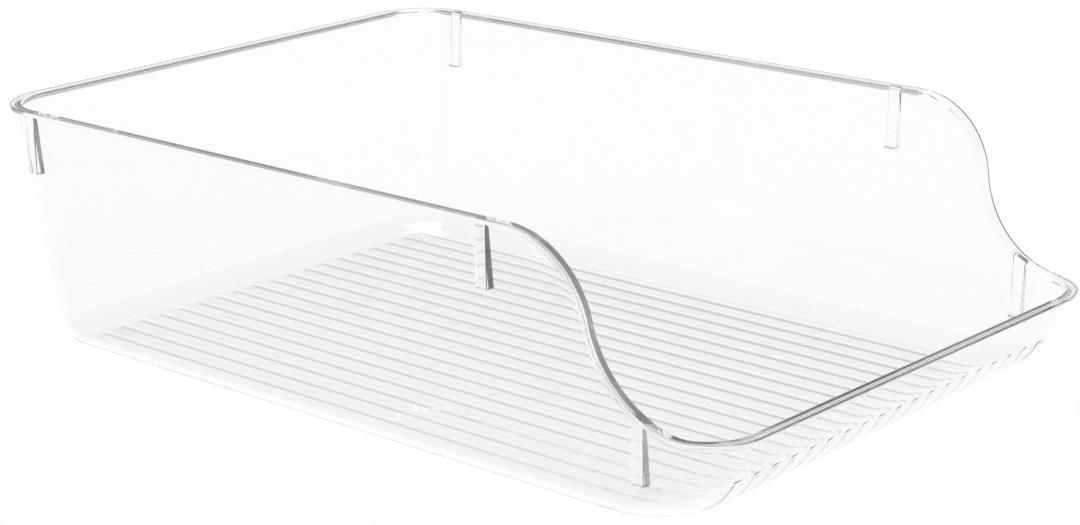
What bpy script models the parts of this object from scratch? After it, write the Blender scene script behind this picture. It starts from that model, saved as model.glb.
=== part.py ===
"""Clear open-front fridge bin on four small feet.

The bin is one thin-walled moulding, open at the top and low at the front.
All lengths are in metres, +Z is up, the low front faces -Y, and the feet
stand on Z = 0 with the bin centred on X = 0 and Y = 0.
"""
import math

import bmesh
import bpy

# Overall shell
rim_length = 0.320
rim_width = 0.2172
shell_height = 0.0875
lip_height = 0.0324
shell_thickness = 0.0019
side_draft_share = 0.095

# Rim flange that runs round the whole mouth
rim_overhang = 0.0023
rim_band_depth = 0.0017

# Rounded edges of the shell
bottom_radius = 0.008
rear_corner_radius = 0.0195
lip_corner_radius = 0.018
front_floor_corner_radius = 0.020
least_corner_radius = 0.0005

# Front wall, a large quarter round that runs up into a leaning lip
front_round_radius = 0.030
front_round_deg = 68.0

# Sweep of the side rim from full height down to the lip
sweep_start_from_front = 0.07625
sweep_upper_radius = 0.02984
sweep_lower_radius = 0.0349
sweep_deg = 81.4

# Rounded ribs on the floor, running from the back up the front round
floor_rib_pitch = 0.00906
floor_rib_width = 0.0018
floor_rib_height = 0.0006
floor_rib_root = 0.0005
floor_rib_side_gap = 0.0060
floor_rib_rear_gap = 0.0050
floor_rib_end_deg = 62.0
floor_rib_toe_share = 0.55

# Stacking ribs on the outside of the side walls
stack_rib_top_width = 0.0048
stack_rib_foot_width = 0.0046
stack_rib_rim_inset = 0.0011
stack_rib_root = 0.0009
stack_rib_rise = 0.0010
stack_rib_length = 0.0223
rear_stack_rib_from_rear = 0.0233
middle_stack_rib_behind_sweep = 0.0100
front_stack_rib_from_front = 0.0306

# Feet
foot_radius = 0.0042
foot_height = 0.0012
foot_edge_round = 0.0003
foot_clearance = 0.0003
foot_side_inset = 0.0155
front_foot_inset = 0.0125
rear_foot_inset = 0.0088

# Mesh resolution
corner_steps = 8
fillet_steps = 5
front_round_steps = 9
sweep_steps = 14
rib_round_steps = 7
foot_steps = 32
foot_edge_steps = 2

# Room that cutting solids take beyond the shell
cutter_margin = 0.004
cutter_rise = 0.030

half_length = rim_length / 2.0
half_width = rim_width / 2.0
shell_base = foot_height + foot_clearance
front_round_angle = math.radians(front_round_deg)
sweep_angle = math.radians(sweep_deg)
loft_top = shell_height + cutter_margin


def front_floor_start():
    """Distance from the front edge to where the flat floor begins."""
    round_rise = front_round_radius * (1.0 - math.cos(front_round_angle))
    straight_run = (lip_height - round_rise) / math.tan(front_round_angle)
    lip_run = rim_overhang / math.sin(front_round_angle)
    return lip_run + straight_run + front_round_radius * math.sin(front_round_angle)


front_floor_from_front = front_floor_start()
flat_floor_pull = rim_overhang + side_draft_share * shell_height + bottom_radius
flat_floor_half_width = half_width - flat_floor_pull
flat_floor_rear_from_front = rim_length - flat_floor_pull


def fillet_inset(level, inset):
    """How far the bottom edge round pulls a wall in at this height."""
    radius = bottom_radius - inset
    drop = max(bottom_radius - level, 0.0)
    return radius - math.sqrt(max(radius * radius - drop * drop, 0.0))


def front_wall_place(level, inset):
    """Distance of the front wall from the front edge at this height."""
    radius = front_round_radius - inset
    tangent_level = front_round_radius - radius * math.cos(front_round_angle)
    if level <= tangent_level:
        drop = front_round_radius - level
        return front_floor_from_front - math.sqrt(max(radius * radius - drop * drop, 0.0))
    tangent_place = front_floor_from_front - radius * math.sin(front_round_angle)
    return tangent_place - (level - tangent_level) / math.tan(front_round_angle)


def wall_half_width(level, inset):
    """Half width of a side wall's surface at this height, without the bottom round."""
    return half_width - rim_overhang - side_draft_share * (shell_height - level) - inset


def corner_points(centre_x, centre_y, radius, start_deg):
    """Points of one rounded plan corner."""
    points = []
    for step in range(corner_steps + 1):
        angle = math.radians(start_deg + 90.0 * step / corner_steps)
        points.append((centre_x + radius * math.cos(angle), centre_y + radius * math.sin(angle)))
    return points


def plan_section(level, inset):
    """Rounded plan outline of the shell at a height, moved in by the inset."""
    pull = fillet_inset(level, inset)
    side = wall_half_width(level, inset) - pull
    rear = half_length - rim_overhang - side_draft_share * (shell_height - level) - inset - pull
    front = front_wall_place(level, inset) - half_length
    rear_radius = max(rear_corner_radius - inset - pull, least_corner_radius)
    rise_share = min(level / lip_height, 1.0)
    front_radius = front_floor_corner_radius - inset
    front_radius += rise_share * (lip_corner_radius - front_floor_corner_radius)
    outline = corner_points(side - rear_radius, rear - rear_radius, rear_radius, 0.0)
    outline += corner_points(rear_radius - side, rear - rear_radius, rear_radius, 90.0)
    outline += corner_points(front_radius - side, front + front_radius, front_radius, 180.0)
    outline += corner_points(side - front_radius, front + front_radius, front_radius, 270.0)
    return [(x, y, shell_base + level) for x, y in outline]


def loft_levels(inset):
    """Heights of the sections, close together where the edges are round."""
    levels = {lip_height, loft_top}
    for step in range(fillet_steps + 1):
        angle = math.radians(90.0 * step / fillet_steps)
        levels.add(bottom_radius - (bottom_radius - inset) * math.cos(angle))
    for step in range(1, front_round_steps + 1):
        angle = front_round_angle * step / front_round_steps
        level = front_round_radius - (front_round_radius - inset) * math.cos(angle)
        if level > bottom_radius:
            levels.add(level)
    return sorted(levels)


def new_object(name, mesh_data, collection):
    """Turn a bmesh into a linked object with outward normals."""
    bmesh.ops.recalc_face_normals(mesh_data, faces=mesh_data.faces)
    mesh = bpy.data.meshes.new(name)
    mesh_data.to_mesh(mesh)
    mesh_data.free()
    created = bpy.data.objects.new(name, mesh)
    collection.objects.link(created)
    return created


def add_rings(mesh_data, rings):
    """Skin a closed solid through rings of points that match one to one."""
    built = [[mesh_data.verts.new(point) for point in ring] for ring in rings]
    count = len(built[0])
    for lower, upper in zip(built, built[1:]):
        for index in range(count):
            following = (index + 1) % count
            mesh_data.faces.new((lower[index], lower[following], upper[following], upper[index]))
    mesh_data.faces.new(list(reversed(built[0])))
    mesh_data.faces.new(built[-1])


def shell_loft(name, inset, levels, collection):
    """Solid that fills the shell's outline, moved in by the inset."""
    mesh_data = bmesh.new()
    add_rings(mesh_data, [plan_section(level, inset) for level in levels])
    return new_object(name, mesh_data, collection)


def sweep_outline(offset):
    """Side view of the rim's top, as (y, z) points, raised by the offset along its normal."""
    start = sweep_start_from_front
    points = [(rim_length + cutter_margin, shell_height + offset)]
    for step in range(sweep_steps + 1):
        angle = sweep_angle * step / sweep_steps
        radius = sweep_upper_radius + offset
        points.append((start - radius * math.sin(angle),
                       shell_height - sweep_upper_radius + radius * math.cos(angle)))
    drop = shell_height - lip_height
    round_drop = (sweep_upper_radius + sweep_lower_radius) * (1.0 - math.cos(sweep_angle))
    straight = (drop - round_drop) / math.sin(sweep_angle)
    lower_centre = start - (sweep_upper_radius + sweep_lower_radius) * math.sin(sweep_angle)
    lower_centre -= straight * math.cos(sweep_angle)
    for step in range(sweep_steps + 1):
        angle = sweep_angle * (1.0 - step / sweep_steps)
        radius = sweep_lower_radius - offset
        points.append((lower_centre + radius * math.sin(angle),
                       lip_height + sweep_lower_radius - radius * math.cos(angle)))
    points.append((-cutter_rise, lip_height + offset))
    return [(y - half_length, shell_base + z) for y, z in points]


def extrude_profile(name, outline, collection):
    """Solid of a side view pulled across the full width of the bin."""
    reach = half_width + cutter_margin
    mesh_data = bmesh.new()
    face = mesh_data.faces.new([mesh_data.verts.new((-reach, y, z)) for y, z in outline])
    pulled = bmesh.ops.extrude_face_region(mesh_data, geom=[face])
    moved = [item for item in pulled["geom"] if isinstance(item, bmesh.types.BMVert)]
    bmesh.ops.translate(mesh_data, verts=moved, vec=(2.0 * reach, 0.0, 0.0))
    return new_object(name, mesh_data, collection)


def rib_section():
    """Cross-section of a floor rib as (across, height above the floor) points."""
    section = []
    for step in range(rib_round_steps + 1):
        angle = math.pi * step / rib_round_steps
        section.append((floor_rib_width / 2.0 * math.cos(angle),
                        floor_rib_height * math.sin(angle)))
    section.append((-floor_rib_width / 2.0, -floor_rib_root))
    section.append((floor_rib_width / 2.0, -floor_rib_root))
    return section


def rib_path():
    """Stations of a floor rib as (from front, level, lean angle, height share)."""
    rear_end = flat_floor_rear_from_front - floor_rib_rear_gap
    toe = rear_end - floor_rib_toe_share * floor_rib_pitch
    stations = [(rear_end, shell_thickness, 0.0, 0.0), (toe, shell_thickness, 0.0, 1.0)]
    radius = front_round_radius - shell_thickness
    end_angle = math.radians(floor_rib_end_deg)
    for step in range(front_round_steps + 1):
        angle = end_angle * step / front_round_steps
        share = 1.0 if step < front_round_steps else 0.0
        stations.append((front_floor_from_front - radius * math.sin(angle),
                         front_round_radius - radius * math.cos(angle), angle, share))
    return stations


def floor_rib_places():
    """Centre lines of as many floor ribs as the flat floor has room for."""
    room = 2.0 * (flat_floor_half_width - floor_rib_side_gap) - floor_rib_width
    gaps = int(room / floor_rib_pitch)
    return [floor_rib_pitch * (index - gaps / 2.0) for index in range(gaps + 1)]


def floor_ribs(collection):
    """All the floor ribs as one group of separate solids."""
    mesh_data = bmesh.new()
    section = rib_section()
    for centre in floor_rib_places():
        rings = []
        for place, level, angle, share in rib_path():
            ring = []
            for across, height in section:
                lift = height * share if height > 0.0 else height
                ring.append((centre + across,
                             place + lift * math.sin(angle) - half_length,
                             shell_base + level + lift * math.cos(angle)))
            rings.append(ring)
        add_rings(mesh_data, rings)
    return new_object("cut_floor_ribs", mesh_data, collection)


def stack_rib(mesh_data, side, from_front, outer, rim_level):
    """One stacking rib with an upright outer face against the leaning wall."""
    rings = []
    for level, width in ((rim_level - stack_rib_length, stack_rib_foot_width),
                         (rim_level + stack_rib_rise, stack_rib_top_width)):
        inner = wall_half_width(level, stack_rib_root)
        near = from_front - width / 2.0 - half_length
        far = from_front + width / 2.0 - half_length
        height = shell_base + level
        rings.append([(side * inner, near, height), (side * outer, near, height),
                      (side * outer, far, height), (side * inner, far, height)])
    add_rings(mesh_data, rings)


def stack_ribs(collection):
    """The six stacking ribs as one group of separate solids."""
    middle_place = sweep_start_from_front + middle_stack_rib_behind_sweep
    levels = {rim_length - rear_stack_rib_from_rear: shell_height,
              middle_place: shell_height,
              front_stack_rib_from_front: front_stack_rib_top()}
    mesh_data = bmesh.new()
    for side in (-1.0, 1.0):
        for from_front, rim_level in levels.items():
            outer = wall_half_width(rim_level, -rim_overhang) - stack_rib_rim_inset
            stack_rib(mesh_data, side, from_front, outer, rim_level)
    return new_object("cut_stack_ribs", mesh_data, collection)


def front_stack_rib_top():
    """Height of the swept rim where the front stacking rib meets it."""
    outline = sweep_outline(0.0)
    place = front_stack_rib_from_front - half_length
    for (upper_y, upper_z), (lower_y, lower_z) in zip(outline, outline[1:]):
        if lower_y <= place <= upper_y:
            share = (place - lower_y) / (upper_y - lower_y)
            return lower_z + share * (upper_z - lower_z) - shell_base
    return lip_height


def add_boolean(target, operation, tool):
    """Exact boolean modifier on the target."""
    modifier = target.modifiers.new(tool.name, 'BOOLEAN')
    modifier.operation = operation
    modifier.solver = 'EXACT'
    modifier.object = tool


def hide_cutter(tool):
    """Keep a cutting solid out of the picture."""
    tool.hide_render = True
    tool.display_type = 'WIRE'


def plastic(name, tint, roughness):
    """Clear moulded plastic."""
    material = bpy.data.materials.new(name)
    material.use_nodes = True
    shader = material.node_tree.nodes["Principled BSDF"]
    shader.inputs["Base Color"].default_value = tint
    shader.inputs["Roughness"].default_value = roughness
    shader.inputs["IOR"].default_value = 1.57
    shader.inputs["Transmission Weight"].default_value = 1.0
    return material


def build_bin(parts, cutters):
    """The one-piece moulding: shell, flange, ribs."""
    levels = loft_levels(0.0)
    body = shell_loft("bin_body", 0.0, levels, parts)
    flange_levels = [level for level in levels if level > bottom_radius]
    flange = shell_loft("cut_flange", -rim_overhang, flange_levels, cutters)
    band_outline = sweep_outline(cutter_margin) + list(reversed(sweep_outline(-rim_band_depth)))
    band = extrude_profile("cut_rim_band", band_outline, cutters)
    add_boolean(flange, 'INTERSECT', band)
    cavity = shell_loft("cut_cavity", shell_thickness, loft_levels(shell_thickness), cutters)
    top_line = sweep_outline(0.0)
    ceiling = shell_base + shell_height + cutter_rise
    above = extrude_profile("cut_above", [(top_line[-1][0], ceiling), (top_line[0][0], ceiling)]
                            + top_line, cutters)
    outer_ribs = stack_ribs(cutters)
    inner_ribs = floor_ribs(cutters)
    add_boolean(body, 'UNION', flange)
    add_boolean(body, 'UNION', outer_ribs)
    add_boolean(body, 'DIFFERENCE', cavity)
    add_boolean(body, 'UNION', inner_ribs)
    add_boolean(body, 'DIFFERENCE', above)
    for tool in (flange, band, cavity, above, outer_ribs, inner_ribs):
        hide_cutter(tool)
    body.data.materials.append(plastic("clear_plastic", (0.95, 0.96, 0.96, 1.0), 0.02))


def build_foot(name, side, from_front, parts):
    """One clear foot, a low disc with rounded edges."""
    mesh_data = bmesh.new()
    bmesh.ops.create_cone(mesh_data, cap_ends=True, segments=foot_steps, radius1=foot_radius,
                          radius2=foot_radius, depth=foot_height)
    bmesh.ops.translate(mesh_data, verts=mesh_data.verts, vec=(0.0, 0.0, foot_height / 2.0))
    foot = new_object(name, mesh_data, parts)
    foot.location = (side * (flat_floor_half_width - foot_side_inset),
                     from_front - half_length, 0.0)
    for face in foot.data.polygons:
        face.use_smooth = len(face.vertices) == 4
    edge = foot.modifiers.new("edge_round", 'BEVEL')
    edge.width = foot_edge_round
    edge.segments = foot_edge_steps
    foot.data.materials.append(plastic(name + "_plastic", (0.93, 0.94, 0.94, 1.0), 0.08))


def main():
    """Build every piece into a collection named for the object."""
    for existing in list(bpy.data.objects):
        bpy.data.objects.remove(existing, do_unlink=True)
    parts = bpy.data.collections.new("open_front_fridge_bin")
    cutters = bpy.data.collections.new("cutters")
    bpy.context.scene.collection.children.link(parts)
    bpy.context.scene.collection.children.link(cutters)
    build_bin(parts, cutters)
    rows = {"front": front_floor_from_front + front_foot_inset,
            "rear": flat_floor_rear_from_front - rear_foot_inset}
    for row, from_front in rows.items():
        build_foot("foot_" + row + "_left", -1.0, from_front, parts)
        build_foot("foot_" + row + "_right", 1.0, from_front, parts)


main()
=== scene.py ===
"""Looks of a clear open-front fridge bin on four small feet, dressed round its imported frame."""

import math

import bmesh
import bpy
from mathutils import Matrix, Vector


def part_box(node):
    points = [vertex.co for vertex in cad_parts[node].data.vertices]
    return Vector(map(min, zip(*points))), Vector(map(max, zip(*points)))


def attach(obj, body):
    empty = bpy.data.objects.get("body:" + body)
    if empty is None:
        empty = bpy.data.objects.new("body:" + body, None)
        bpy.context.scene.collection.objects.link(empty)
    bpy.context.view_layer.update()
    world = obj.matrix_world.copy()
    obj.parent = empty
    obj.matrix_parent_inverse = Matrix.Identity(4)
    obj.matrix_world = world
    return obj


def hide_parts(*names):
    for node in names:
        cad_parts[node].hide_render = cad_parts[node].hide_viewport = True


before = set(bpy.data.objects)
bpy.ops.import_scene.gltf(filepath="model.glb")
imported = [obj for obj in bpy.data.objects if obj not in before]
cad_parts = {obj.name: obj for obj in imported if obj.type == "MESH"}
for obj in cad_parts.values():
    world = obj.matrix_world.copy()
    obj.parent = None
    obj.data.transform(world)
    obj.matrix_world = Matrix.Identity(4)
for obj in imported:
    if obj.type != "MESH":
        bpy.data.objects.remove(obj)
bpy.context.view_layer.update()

# Overall shell, read from the frame or repeated from the solids, in metres
half_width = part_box("bin_body")[1].x
half_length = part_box("bin_body")[1].y
shell_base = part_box("bin_body")[0].z
shell_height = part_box("bin_body")[1].z - shell_base
rim_length = 2.0 * half_length
lip_height = 0.0324
shell_thickness = 0.0019
side_draft_share = 0.095

# Rounded edges of the shell
bottom_radius = 0.008
rear_corner_radius = 0.0195
lip_corner_radius = 0.018
front_floor_corner_radius = 0.020
least_corner_radius = 0.0005

# Rim flange and the small rounds of its section
rim_overhang = 0.0023
rim_band_depth = 0.0017
rim_inner_round = 0.0010
rim_outer_round = 0.0004
rim_lower_round = 0.00025
rim_root_round = 0.0010
rim_round_steps = 4
rim_inner_round_steps = 6

# Front wall, a large quarter round that runs up into a leaning lip
front_round_radius = 0.030
front_round_angle = math.radians(68.0)

# Sweep of the side rim from full height down to the lip
sweep_start_from_front = 0.07625
sweep_upper_radius = 0.02984
sweep_lower_radius = 0.0349
sweep_angle = math.radians(81.4)
sweep_steps = 26
sweep_settle_run = 0.005

# Floor ribs, soft ridges from the back up the front round
floor_rib_pitch = 0.00906
floor_ribs_each_side = 9
floor_rib_half_width = 0.0026
floor_rib_height = 0.00019
floor_rib_rear_gap = 0.0050
floor_rib_toe_run = 0.0010
floor_rib_end_angle = math.radians(62.0)
floor_rib_steps = 5

# Stacking ribs on the outside of the side walls
stack_rib_length = 0.0223
stack_rib_top_width = 0.0048
stack_rib_foot_width = 0.0046
stack_rib_rim_inset = 0.0011
stack_rib_root = 0.0009
stack_rib_edge_round = 0.00035
stack_rib_edge_steps = 3
rear_stack_rib_from_rear = 0.0233
middle_stack_rib_behind_sweep = 0.0100
front_stack_rib_from_front = 0.0306

# Columns and rows of the moulding's mesh
straight_front_half = 0.0850
corner_columns = 20
wall_rows = 8
round_rows = 24
front_slide_end = 0.095
rear_slide_start = 0.250
rib_column_gap = 0.0015
middle_rib_columns = range(-6, 8)
rear_rib_columns = range(-8, 1)
open_wall_start = 0.015
open_wall_gap = 0.02
open_wall_columns = 9
rib_end_row_backs = (4.0, 2.6, 1.6, 0.9, 0.4, 0.0)
last_round_row_back = 3.0
floor_row_shares = (0.08, 0.3, 0.6, 0.9)
toe_row_shares = (1.0, 0.8, 0.55, 0.3, 0.15, 0.0)

# Joining and shading of the mesh
merge_distance = 0.00001
level_tolerance = 0.000001
least_floor_facing = 0.3
sharp_edge_angle = math.radians(32.0)
face_area_weight = 50

# Clear plastic: its tints, surface and depth
plastic_ior = 1.57
bin_tint = (0.985, 0.985, 0.985, 1.0)
bin_least_roughness = 0.0
bin_most_roughness = 0.02
foot_tint = (0.95, 0.95, 0.95, 1.0)
foot_least_roughness = 0.05
foot_most_roughness = 0.20
wave_scale = 45.0
wave_detail = 1.0
wave_height = 0.000008
haze_scale = 160.0
haze_detail = 4.0
haze_low = 0.35
haze_high = 0.70
shadow_tint = (0.95, 0.95, 0.95, 1.0)
depth_colour = (0.0, 0.0, 0.0, 1.0)
depth_density = 2.2

# Camera, fitted to the photograph
camera_place = Vector((-0.66122, -0.59412, 0.30601))
camera_yaw = 0.7311
camera_pitch = 0.2954
camera_roll = -0.0158
focal_share = 2698.9 / 1080.0
sensor_width = 36.0
farthest_seen = 50.0

# Stage: floor, sky and lamp
floor_reach = 8.0
floor_paint = (0.93, 0.93, 0.93, 1.0)
floor_white_share = 0.85
low_sky_height = 0.12
low_sky_colour = (1.0, 1.0, 1.0, 1.0)
high_sky_height = 0.28
high_sky_colour = (0.60, 0.60, 0.60, 1.0)
lamp_length = 1.6
lamp_width = 1.2
lamp_power = 20.0
lamp_place = (0.3, 0.4, 1.9)

# Crossings of the clear walls that a ray of light may make
light_crossings = 200
shadow_crossings = 24


def smooth_step(value):
    """Ease from 0 to 1."""
    share = min(max(value, 0.0), 1.0)
    return share * share * (3.0 - 2.0 * share)


def front_floor_start():
    """Distance from the front edge to where the flat floor begins."""
    round_rise = front_round_radius * (1.0 - math.cos(front_round_angle))
    straight_run = (lip_height - round_rise) / math.tan(front_round_angle)
    lip_run = rim_overhang / math.sin(front_round_angle)
    return lip_run + straight_run + front_round_radius * math.sin(front_round_angle)


front_floor_from_front = front_floor_start()
flat_floor_pull = rim_overhang + side_draft_share * shell_height + bottom_radius
flat_floor_rear_from_front = rim_length - flat_floor_pull
floor_rib_rear_end = flat_floor_rear_from_front - floor_rib_rear_gap
upper_centre_level = shell_height - sweep_upper_radius
lower_centre_level = lip_height + sweep_lower_radius
sweep_round_drop = (sweep_upper_radius + sweep_lower_radius) * (1.0 - math.cos(sweep_angle))
sweep_straight = (shell_height - lip_height - sweep_round_drop) / math.sin(sweep_angle)
sweep_end_from_front = (sweep_start_from_front - sweep_straight * math.cos(sweep_angle)
                        - (sweep_upper_radius + sweep_lower_radius) * math.sin(sweep_angle))


def fillet_pull(level, inset):
    """How far the bottom edge round pulls a wall in at this height."""
    radius = bottom_radius - inset
    drop = max(bottom_radius - level, 0.0)
    return radius - math.sqrt(max(radius * radius - drop * drop, 0.0))


def front_place(level, inset):
    """Distance of the front wall from the front edge at this height."""
    radius = front_round_radius - inset
    tangent_level = front_round_radius - radius * math.cos(front_round_angle)
    if level <= tangent_level:
        drop = front_round_radius - level
        return front_floor_from_front - math.sqrt(max(radius * radius - drop * drop, 0.0))
    tangent_place = front_floor_from_front - radius * math.sin(front_round_angle)
    return tangent_place - (level - tangent_level) / math.tan(front_round_angle)


def wall_pull(level, inset):
    """How far a side or rear wall's surface lies inside the rim's outer edge."""
    return (rim_overhang + side_draft_share * (shell_height - level) + inset
            + fillet_pull(level, inset))


def front_corner(level, inset):
    """Radius of the front plan corners."""
    rise_share = min(level / lip_height, 1.0)
    return (front_floor_corner_radius - inset
            + rise_share * (lip_corner_radius - front_floor_corner_radius))


def rear_corner(level, inset):
    """Radius of the rear plan corners."""
    return max(rear_corner_radius - inset - fillet_pull(level, inset), least_corner_radius)


def corner_walk(share, side, radius):
    """Offsets along a corner from its straight part: across from the middle, and back."""
    centre = side - radius
    start = math.asin(min(max((straight_front_half - centre) / radius, 0.0), 1.0))
    straight = max(centre - straight_front_half, 0.0)
    along = share * (straight + radius * (math.pi / 2.0 - start))
    if along < straight:
        return straight_front_half + along, 0.0
    angle = start + (along - straight) / radius
    return centre + radius * math.sin(angle), radius * (1.0 - math.cos(angle))


def end_depth(x, side, radius):
    """How far the plan corner takes an end wall back at this distance from the middle."""
    across = max(x - (side - radius), 0.0)
    return radius - math.sqrt(max(radius * radius - across * across, 0.0))


def plan_point(column, place, level, inset):
    """Point of the shell's surface in one column of the mesh, as (x, from front, level)."""
    kind, value = column[0], column[1]
    side = half_width - wall_pull(level, inset)
    if kind == "front":
        return value, front_place(level, inset) + end_depth(value, side, front_corner(level, inset))
    if kind == "front_corner":
        across, back = corner_walk(value, side, front_corner(level, inset))
        return across, front_place(level, inset) + back
    rear = rim_length - wall_pull(level, inset)
    if kind == "rear":
        return value, rear - end_depth(value, side, rear_corner(level, inset))
    if kind == "rear_corner":
        across, back = corner_walk(1.0 - value, side, rear_corner(level, inset))
        return across, rear - back
    return side, slide(place, level, inset)


def slide(place, level, inset):
    """Place of a side column at this height, drawn along as the plan corners move."""
    front_end = side_front_end(min(level, lip_height), inset)
    rear_end = rim_length - wall_pull(level, inset) - rear_corner(level, inset)
    if place < front_slide_end:
        share = (front_slide_end - place) / (front_slide_end - rim_side_start)
        return place + share * (front_end - rim_side_start)
    if place > rear_slide_start:
        share = (place - rear_slide_start) / (rim_side_end - rear_slide_start)
        return place + share * (rear_end - rim_side_end)
    return place


def side_front_end(level, inset):
    """Where the front corner ends and the flat side begins at this height."""
    return front_place(level, inset) + front_corner(level, inset)


rim_side_start = side_front_end(lip_height, 0.0)
rim_side_end = rim_length - rim_overhang - rear_corner_radius


def rim_at(place):
    """Level and slope of the rim's top at a distance from the front."""
    if place <= sweep_end_from_front:
        return lip_height, 0.0
    lower_top = sweep_end_from_front + sweep_lower_radius * math.sin(sweep_angle)
    if place <= lower_top:
        slope = math.asin((place - sweep_end_from_front) / sweep_lower_radius)
        return lower_centre_level - sweep_lower_radius * math.cos(slope), slope
    upper_foot = sweep_start_from_front - sweep_upper_radius * math.sin(sweep_angle)
    if place < upper_foot:
        foot_level = lower_centre_level - sweep_lower_radius * math.cos(sweep_angle)
        return foot_level + (place - lower_top) * math.tan(sweep_angle), sweep_angle
    if place < sweep_start_from_front:
        slope = math.asin((sweep_start_from_front - place) / sweep_upper_radius)
        return upper_centre_level + sweep_upper_radius * math.cos(slope), slope
    return shell_height, 0.0


def side_places():
    """Where the side columns meet the rim, even along the sweep and close by the ribs."""
    places = []
    start = math.asin((rim_side_start - sweep_end_from_front) / sweep_lower_radius)
    for step in range(sweep_steps):
        slope = start + (sweep_angle - start) * step / sweep_steps
        places.append(sweep_end_from_front + sweep_lower_radius * math.sin(slope))
    for step in range(sweep_steps + 1):
        slope = sweep_angle * (1.0 - step / sweep_steps)
        places.append(sweep_start_from_front - sweep_upper_radius * math.sin(slope))
    middle = sweep_start_from_front + middle_stack_rib_behind_sweep
    rear = rim_length - rear_stack_rib_from_rear
    places += [middle + rib_column_gap * step for step in middle_rib_columns]
    places += [middle + open_wall_start + open_wall_gap * step
               for step in range(open_wall_columns)]
    places += [rear + rib_column_gap * step for step in rear_rib_columns]
    places.append(rim_side_end)
    return places


def rib_lines():
    """Distances from the middle of the columns that shape the floor ribs, one side."""
    lines = [floor_rib_half_width * step / floor_rib_steps for step in range(floor_rib_steps + 1)]
    for index in range(1, floor_ribs_each_side + 1):
        centre = floor_rib_pitch * index
        for step in range(-floor_rib_steps, floor_rib_steps + 1):
            lines.append(centre + floor_rib_half_width * step / floor_rib_steps)
    return lines + [straight_front_half]


def shell_columns():
    """Columns of one half, from the middle of the lip round to the middle of the back."""
    lines = rib_lines()
    columns = [("front", x, front_place(lip_height, 0.0)) for x in lines]
    for step in range(1, corner_columns):
        share = step / corner_columns
        column = ("front_corner", share)
        columns.append(column + (plan_point(column, 0.0, lip_height, 0.0)[1],))
    columns += [("side", 0.0, place) for place in side_places()]
    columns += [("rear_corner", step / corner_columns, rim_length)
                for step in range(1, corner_columns)]
    columns += [("rear", x, rim_length) for x in reversed(lines)]
    return columns


def rim_section():
    """Section of the rim as (outward, up) from the wall's outer face at the rim's top."""
    rounds = ((rim_root_round, -rim_band_depth - rim_root_round, rim_root_round, 180.0, 90.0,
               rim_round_steps),
              (rim_overhang - rim_lower_round, rim_lower_round - rim_band_depth,
               rim_lower_round, -90.0, 0.0, rim_round_steps),
              (rim_overhang - rim_outer_round, -rim_outer_round, rim_outer_round, 0.0, 90.0,
               rim_round_steps),
              (rim_inner_round - shell_thickness, -rim_inner_round, rim_inner_round, 90.0, 180.0,
               rim_inner_round_steps))
    section = []
    for out, up, radius, start, end, steps in rounds:
        for step in range(steps + 1):
            angle = math.radians(start + (end - start) * step / steps)
            section.append((out + radius * math.cos(angle), up + radius * math.sin(angle)))
    return section


def round_angles(inner):
    """Angles up the front round, closer by the ends of the floor ribs on the inside."""
    if not inner:
        return [front_round_angle * step / round_rows for step in range(round_rows + 1)]
    close = [floor_rib_end_angle - math.radians(back) for back in rib_end_row_backs]
    even_rows = round_rows + 1 - len(close)
    even = [close[0] * step / even_rows for step in range(even_rows)]
    last = front_round_angle - math.radians(last_round_row_back)
    return even + close + [last, front_round_angle]


def wall_levels(column_top, inset, inner):
    """Heights of one column's points from the floor to just under the rim."""
    radius = front_round_radius - inset
    levels = [front_round_radius - radius * math.cos(angle) for angle in round_angles(inner)]
    foot = levels[-1]
    for step in range(1, wall_rows):
        levels.append(foot + (column_top - foot) * step / wall_rows)
    return levels


def shell_grid_points():
    """Every point of one half of the shell's skin, as columns of points."""
    section = rim_section()
    grid = []
    for column in shell_columns():
        rim_level, slope = rim_at(column[2])
        settle = smooth_step((column[2] - rim_side_start) / sweep_settle_run)
        lean = math.sin(slope) * settle

        def at_rim(out, up):
            place = column[2] - up * lean
            level = rim_level + up * math.cos(slope)
            return plan_point(column, place, level, -out) + (level,)

        outer_top = rim_level + section[0][1] * math.cos(slope)
        inner_top = rim_level + section[-1][1] * math.cos(slope)
        outer_place = column[2] - section[0][1] * lean
        inner_place = column[2] - section[-1][1] * lean
        points = []
        for level in wall_levels(outer_top, 0.0, False):
            points.append(plan_point(column, outer_place, level, 0.0) + (level,))
        points += [at_rim(out, up) for out, up in section]
        for level in reversed(wall_levels(inner_top, shell_thickness, True)):
            points.append(plan_point(column, inner_place, level, shell_thickness) + (level,))
        grid.append(points)
    return grid


def in_row_frame(point):
    """Point in the frame's own axes from (x, from front, level)."""
    return Vector((point[0], point[1] - half_length, shell_base + point[2]))


def warped_grid(mesh_data, grid):
    """Grid whose vertices are moved to the given columns of points."""
    count, height = len(grid), len(grid[0])
    made = bmesh.ops.create_grid(mesh_data, x_segments=count - 1, y_segments=height - 1, size=1.0)
    ordered = sorted(made["verts"], key=lambda vert: (round(vert.co.x, 6), round(vert.co.y, 6)))
    for index, vert in enumerate(ordered):
        vert.co = in_row_frame(grid[index // height][index % height])


def floor_rows(front, rear):
    """Places of the floor's points along one rib line, from its front end to its rear end."""
    toe_start = floor_rib_rear_end - floor_rib_toe_run
    even = [front + (toe_start - front) * share for share in floor_row_shares]
    toe = [floor_rib_rear_end - floor_rib_toe_run * share for share in toe_row_shares]
    return [front] + even + toe + [rear]


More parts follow.
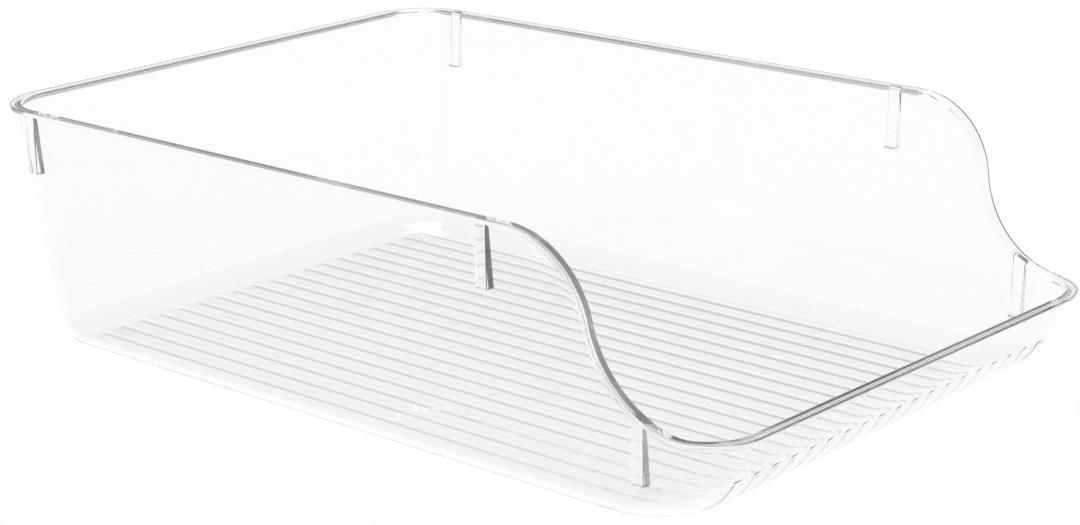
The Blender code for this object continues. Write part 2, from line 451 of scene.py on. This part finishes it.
def floor_rib_rise(point, normal_angle):
    """Height of a floor rib at a point of the inner skin."""
    x, place = abs(point.x), point.y + half_length
    line = min(math.floor(x / floor_rib_pitch + 0.5), floor_ribs_each_side) * floor_rib_pitch
    across = abs(x - line) / floor_rib_half_width
    if across >= 1.0:
        return 0.0
    rear = smooth_step((floor_rib_rear_end - place) / floor_rib_toe_run)
    run_left = (floor_rib_end_angle - normal_angle) * front_round_radius
    front = smooth_step(run_left / floor_rib_toe_run)
    return floor_rib_height * math.cos(across * math.pi / 2.0) ** 2 * rear * front


def raise_floor_ribs(mesh_data):
    """Lift the inner skin into ribs along its own normals."""
    mesh_data.normal_update()
    inner_floor = shell_base + shell_thickness
    moves = []
    for vert in mesh_data.verts:
        if vert.co.z < inner_floor - level_tolerance or vert.normal.z < least_floor_facing:
            continue
        place = vert.co.y + half_length
        level = vert.co.z - shell_base
        radius = front_round_radius - shell_thickness
        angle = math.acos(min(max((front_round_radius - level) / radius, -1.0), 1.0))
        if place > front_floor_from_front + front_floor_corner_radius:
            angle = 0.0
        rise = floor_rib_rise(vert.co, angle)
        if rise > 0.0:
            moves.append((vert, vert.normal * rise))
    for vert, move in moves:
        vert.co += move


def stack_rib(mesh_data, from_front):
    """One stacking rib on the left wall, upright outside and rounded along its edges."""
    made = bmesh.ops.create_cube(mesh_data, size=1.0)["verts"]
    rim_level, slope = rim_at(from_front)
    foot_level = rim_level - stack_rib_length
    outer = half_width - wall_pull(rim_level, 0.0) + rim_overhang - stack_rib_rim_inset
    for vert in made:
        high = vert.co.z > 0.0
        width = stack_rib_top_width if high else stack_rib_foot_width
        place = from_front + (width / 2.0 if vert.co.y > 0.0 else -width / 2.0)
        level = foot_level
        if high:
            level = rim_at(place)[0] - rim_band_depth / 2.0 / math.cos(slope)
        inner = half_width - wall_pull(level, 0.0) - stack_rib_root
        vert.co = in_row_frame((-outer if vert.co.x < 0.0 else -inner, place, level))
    edges = {edge for vert in made for edge in vert.link_edges}
    outside = [edge for edge in edges
               if all(vert.co.x < -outer + level_tolerance for vert in edge.verts)
               or all(abs(vert.co.z - shell_base - foot_level) < level_tolerance
                      for vert in edge.verts)]
    bmesh.ops.bevel(mesh_data, geom=outside, offset=stack_rib_edge_round, offset_type='OFFSET',
                    segments=stack_rib_edge_steps, profile=0.5, affect='EDGES', material=-1,
                    clamp_overlap=True)


def mirror_across(mesh_data):
    """Add the other half across the middle."""
    bmesh.ops.mirror(mesh_data, geom=mesh_data.verts[:] + mesh_data.edges[:] + mesh_data.faces[:],
                     matrix=Matrix.Identity(4), merge_dist=merge_distance, axis='X')


def finished_object(name, mesh_data):
    """Linked object from a bmesh, at the origin."""
    mesh = bpy.data.meshes.new(name)
    mesh_data.to_mesh(mesh)
    mesh_data.free()
    made = bpy.data.objects.new(name, mesh)
    bpy.context.scene.collection.objects.link(made)
    return made


def shell_skin():
    """The moulding's shell: walls, rim, floor and floor ribs as one closed skin."""
    mesh_data = bmesh.new()
    grid = shell_grid_points()
    warped_grid(mesh_data, grid)
    inner_floor_level = grid[0][-1][2]
    lines = rib_lines()
    floor_grid = []
    for index, x in enumerate(lines):
        front = grid[index][-1][1]
        rear = grid[len(grid) - 1 - index][-1][1]
        floor_grid.append([(x, place, inner_floor_level) for place in floor_rows(front, rear)])
    warped_grid(mesh_data, floor_grid)
    bmesh.ops.remove_doubles(mesh_data, verts=mesh_data.verts, dist=merge_distance)
    mirror_across(mesh_data)
    bmesh.ops.remove_doubles(mesh_data, verts=mesh_data.verts, dist=merge_distance)
    rims = [edge for edge in mesh_data.edges if edge.is_boundary]
    bmesh.ops.holes_fill(mesh_data, edges=rims, sides=0)
    bmesh.ops.recalc_face_normals(mesh_data, faces=mesh_data.faces)
    raise_floor_ribs(mesh_data)
    return finished_object("clear_bin_skin", mesh_data)


def stack_rib_group():
    """The six stacking ribs, three a side."""
    mesh_data = bmesh.new()
    middle = sweep_start_from_front + middle_stack_rib_behind_sweep
    for from_front in (rim_length - rear_stack_rib_from_rear, middle, front_stack_rib_from_front):
        stack_rib(mesh_data, from_front)
    mirror_across(mesh_data)
    bmesh.ops.recalc_face_normals(mesh_data, faces=mesh_data.faces)
    return finished_object("stack_rib_tools", mesh_data)


def clear_bin():
    """The whole moulding: the skin joined with its stacking ribs, shaded by face area."""
    skin = shell_skin()
    ribs = stack_rib_group()
    join = skin.modifiers.new("join_ribs", 'BOOLEAN')
    join.operation = 'UNION'
    join.solver = 'EXACT'
    join.object = ribs
    evaluated = skin.evaluated_get(bpy.context.evaluated_depsgraph_get())
    mesh = bpy.data.meshes.new_from_object(evaluated)
    made = bpy.data.objects.new("clear_bin", mesh)
    bpy.context.scene.collection.objects.link(made)
    for spent in (skin, ribs):
        bpy.data.objects.remove(spent, do_unlink=True)
    mesh.shade_smooth()
    mesh.set_sharp_from_angle(angle=sharp_edge_angle)
    weigh = made.modifiers.new("even_shading", 'WEIGHTED_NORMAL')
    weigh.mode = 'FACE_AREA'
    weigh.weight = face_area_weight
    weigh.keep_sharp = True
    return made


def moulding_detail():
    """Node group with the faint waves and haze that a mould leaves on clear plastic."""
    group = bpy.data.node_groups.new("moulding_detail", 'ShaderNodeTree')
    group.interface.new_socket("Place", in_out='INPUT', socket_type='NodeSocketVector')
    group.interface.new_socket("Wave Height", in_out='INPUT', socket_type='NodeSocketFloat')
    group.interface.new_socket("Least Roughness", in_out='INPUT', socket_type='NodeSocketFloat')
    group.interface.new_socket("Most Roughness", in_out='INPUT', socket_type='NodeSocketFloat')
    group.interface.new_socket("Normal", in_out='OUTPUT', socket_type='NodeSocketVector')
    group.interface.new_socket("Roughness", in_out='OUTPUT', socket_type='NodeSocketFloat')
    nodes, links = group.nodes, group.links
    given = nodes.new("NodeGroupInput")
    result = nodes.new("NodeGroupOutput")
    waves = nodes.new("ShaderNodeTexNoise")
    waves.inputs["Scale"].default_value = wave_scale
    waves.inputs["Detail"].default_value = wave_detail
    links.new(given.outputs["Place"], waves.inputs["Vector"])
    bump = nodes.new("ShaderNodeBump")
    bump.inputs["Strength"].default_value = 1.0
    links.new(given.outputs["Wave Height"], bump.inputs["Distance"])
    links.new(waves.outputs["Fac"], bump.inputs["Height"])
    links.new(bump.outputs["Normal"], result.inputs["Normal"])
    haze = nodes.new("ShaderNodeTexNoise")
    haze.inputs["Scale"].default_value = haze_scale
    haze.inputs["Detail"].default_value = haze_detail
    links.new(given.outputs["Place"], haze.inputs["Vector"])
    spread = nodes.new("ShaderNodeMapRange")
    spread.inputs["From Min"].default_value = haze_low
    spread.inputs["From Max"].default_value = haze_high
    links.new(haze.outputs["Fac"], spread.inputs["Value"])
    links.new(given.outputs["Least Roughness"], spread.inputs["To Min"])
    links.new(given.outputs["Most Roughness"], spread.inputs["To Max"])
    links.new(spread.outputs["Result"], result.inputs["Roughness"])
    return group


def clear_plastic(name, tint, least_roughness, most_roughness):
    """Clear moulded plastic that lets lamps through."""
    material = bpy.data.materials.new(name)
    material.use_nodes = True
    nodes, links = material.node_tree.nodes, material.node_tree.links
    shader = nodes["Principled BSDF"]
    shader.inputs["Base Color"].default_value = tint
    shader.inputs["IOR"].default_value = plastic_ior
    shader.inputs["Transmission Weight"].default_value = 1.0
    place = nodes.new("ShaderNodeTexCoord")
    detail = nodes.new("ShaderNodeGroup")
    detail.node_tree = bpy.data.node_groups.get("moulding_detail") or moulding_detail()
    detail.inputs["Wave Height"].default_value = wave_height
    detail.inputs["Least Roughness"].default_value = least_roughness
    detail.inputs["Most Roughness"].default_value = most_roughness
    links.new(place.outputs["Object"], detail.inputs["Place"])
    links.new(detail.outputs["Normal"], shader.inputs["Normal"])
    links.new(detail.outputs["Roughness"], shader.inputs["Roughness"])
    path = nodes.new("ShaderNodeLightPath")
    through = nodes.new("ShaderNodeBsdfTransparent")
    through.inputs["Color"].default_value = shadow_tint
    choice = nodes.new("ShaderNodeMixShader")
    links.new(path.outputs["Is Shadow Ray"], choice.inputs["Fac"])
    links.new(shader.outputs["BSDF"], choice.inputs[1])
    links.new(through.outputs["BSDF"], choice.inputs[2])
    links.new(choice.outputs["Shader"], nodes["Material Output"].inputs["Surface"])
    depth = nodes.new("ShaderNodeVolumeAbsorption")
    depth.inputs["Color"].default_value = depth_colour
    depth.inputs["Density"].default_value = depth_density
    links.new(depth.outputs["Volume"], nodes["Material Output"].inputs["Volume"])
    return material


def studio_floor():
    """Plain pale floor that keeps a soft shadow."""
    mesh_data = bmesh.new()
    bmesh.ops.create_grid(mesh_data, x_segments=1, y_segments=1, size=floor_reach)
    floor = finished_object("studio_floor", mesh_data)
    material = bpy.data.materials.new("studio_floor_white")
    material.use_nodes = True
    nodes, links = material.node_tree.nodes, material.node_tree.links
    shader = nodes["Principled BSDF"]
    shader.inputs["Base Color"].default_value = floor_paint
    shader.inputs["Roughness"].default_value = 1.0
    shader.inputs["Specular IOR Level"].default_value = 0.0
    glow = nodes.new("ShaderNodeEmission")
    glow.inputs["Strength"].default_value = 1.0
    path = nodes.new("ShaderNodeLightPath")
    seen = nodes.new("ShaderNodeMath")
    seen.operation = 'MAXIMUM'
    links.new(path.outputs["Is Camera Ray"], seen.inputs[0])
    links.new(path.outputs["Is Glossy Ray"], seen.inputs[1])
    seen_through = nodes.new("ShaderNodeMath")
    seen_through.operation = 'MAXIMUM'
    links.new(seen.outputs["Value"], seen_through.inputs[0])
    links.new(path.outputs["Is Transmission Ray"], seen_through.inputs[1])
    share = nodes.new("ShaderNodeMath")
    share.operation = 'MULTIPLY'
    share.inputs[1].default_value = floor_white_share
    links.new(seen_through.outputs["Value"], share.inputs[0])
    mix = nodes.new("ShaderNodeMixShader")
    links.new(share.outputs["Value"], mix.inputs["Fac"])
    links.new(shader.outputs["BSDF"], mix.inputs[1])
    links.new(glow.outputs["Emission"], mix.inputs[2])
    links.new(mix.outputs["Shader"], nodes["Material Output"].inputs["Surface"])
    floor.data.materials.append(material)


def studio_world():
    """White near the horizon, grey overhead."""
    world = bpy.data.worlds.new("studio_world")
    bpy.context.scene.world = world
    world.use_nodes = True
    nodes, links = world.node_tree.nodes, world.node_tree.links
    background = nodes["Background"]
    background.inputs["Strength"].default_value = 1.0
    place = nodes.new("ShaderNodeTexCoord")
    split = nodes.new("ShaderNodeSeparateXYZ")
    ramp = nodes.new("ShaderNodeValToRGB")
    ramp.color_ramp.elements[0].position = low_sky_height
    ramp.color_ramp.elements[0].color = low_sky_colour
    ramp.color_ramp.elements[1].position = high_sky_height
    ramp.color_ramp.elements[1].color = high_sky_colour
    links.new(place.outputs["Generated"], split.inputs["Vector"])
    links.new(split.outputs["Z"], ramp.inputs["Fac"])
    links.new(ramp.outputs["Color"], background.inputs["Color"])


def studio_lamps():
    """One broad soft lamp overhead."""
    lamp = bpy.data.lights.new("overhead_soft_lamp", 'AREA')
    lamp.shape = 'RECTANGLE'
    lamp.size = lamp_length
    lamp.size_y = lamp_width
    lamp.energy = lamp_power
    holder = bpy.data.objects.new("overhead_soft_lamp", lamp)
    holder.location = lamp_place
    bpy.context.scene.collection.objects.link(holder)


def photograph_camera():
    """Camera at the photograph's place and angle."""
    camera = bpy.data.cameras.new("photograph_camera")
    camera.sensor_fit = 'HORIZONTAL'
    camera.sensor_width = sensor_width
    camera.lens = sensor_width * focal_share
    camera.clip_end = farthest_seen
    holder = bpy.data.objects.new("photograph_camera", camera)
    ahead = Vector((math.cos(camera_yaw) * math.cos(camera_pitch),
                    math.sin(camera_yaw) * math.cos(camera_pitch), -math.sin(camera_pitch)))
    right = Vector((math.sin(camera_yaw), -math.cos(camera_yaw), 0.0))
    up = right.cross(ahead)
    rolled_right = right * math.cos(camera_roll) + up * math.sin(camera_roll)
    rolled_up = up * math.cos(camera_roll) - right * math.sin(camera_roll)
    turn = Matrix((rolled_right, rolled_up, -ahead)).transposed()
    holder.matrix_world = Matrix.Translation(camera_place) @ turn.to_4x4()
    bpy.context.scene.collection.objects.link(holder)
    bpy.context.scene.camera = holder


def dress_bin():
    """Put the clear moulding over its solid and finish the feet."""
    made = clear_bin()
    made.data.materials.clear()
    plastic = clear_plastic("clear_bin_plastic", bin_tint, bin_least_roughness, bin_most_roughness)
    made.data.materials.append(plastic)
    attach(made, "root")
    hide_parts("bin_body")
    for name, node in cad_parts.items():
        if name.startswith("foot_"):
            material = clear_plastic(name + "_plastic", foot_tint, foot_least_roughness,
                                     foot_most_roughness)
            for slot in node.material_slots:
                slot.material = material


studio_floor()
studio_world()
studio_lamps()
photograph_camera()
dress_bin()
bpy.context.scene.view_settings.view_transform = 'Standard'
bpy.context.scene.cycles.max_bounces = light_crossings
bpy.context.scene.cycles.transmission_bounces = light_crossings
bpy.context.scene.cycles.glossy_bounces = light_crossings
bpy.context.scene.cycles.transparent_max_bounces = shadow_crossings
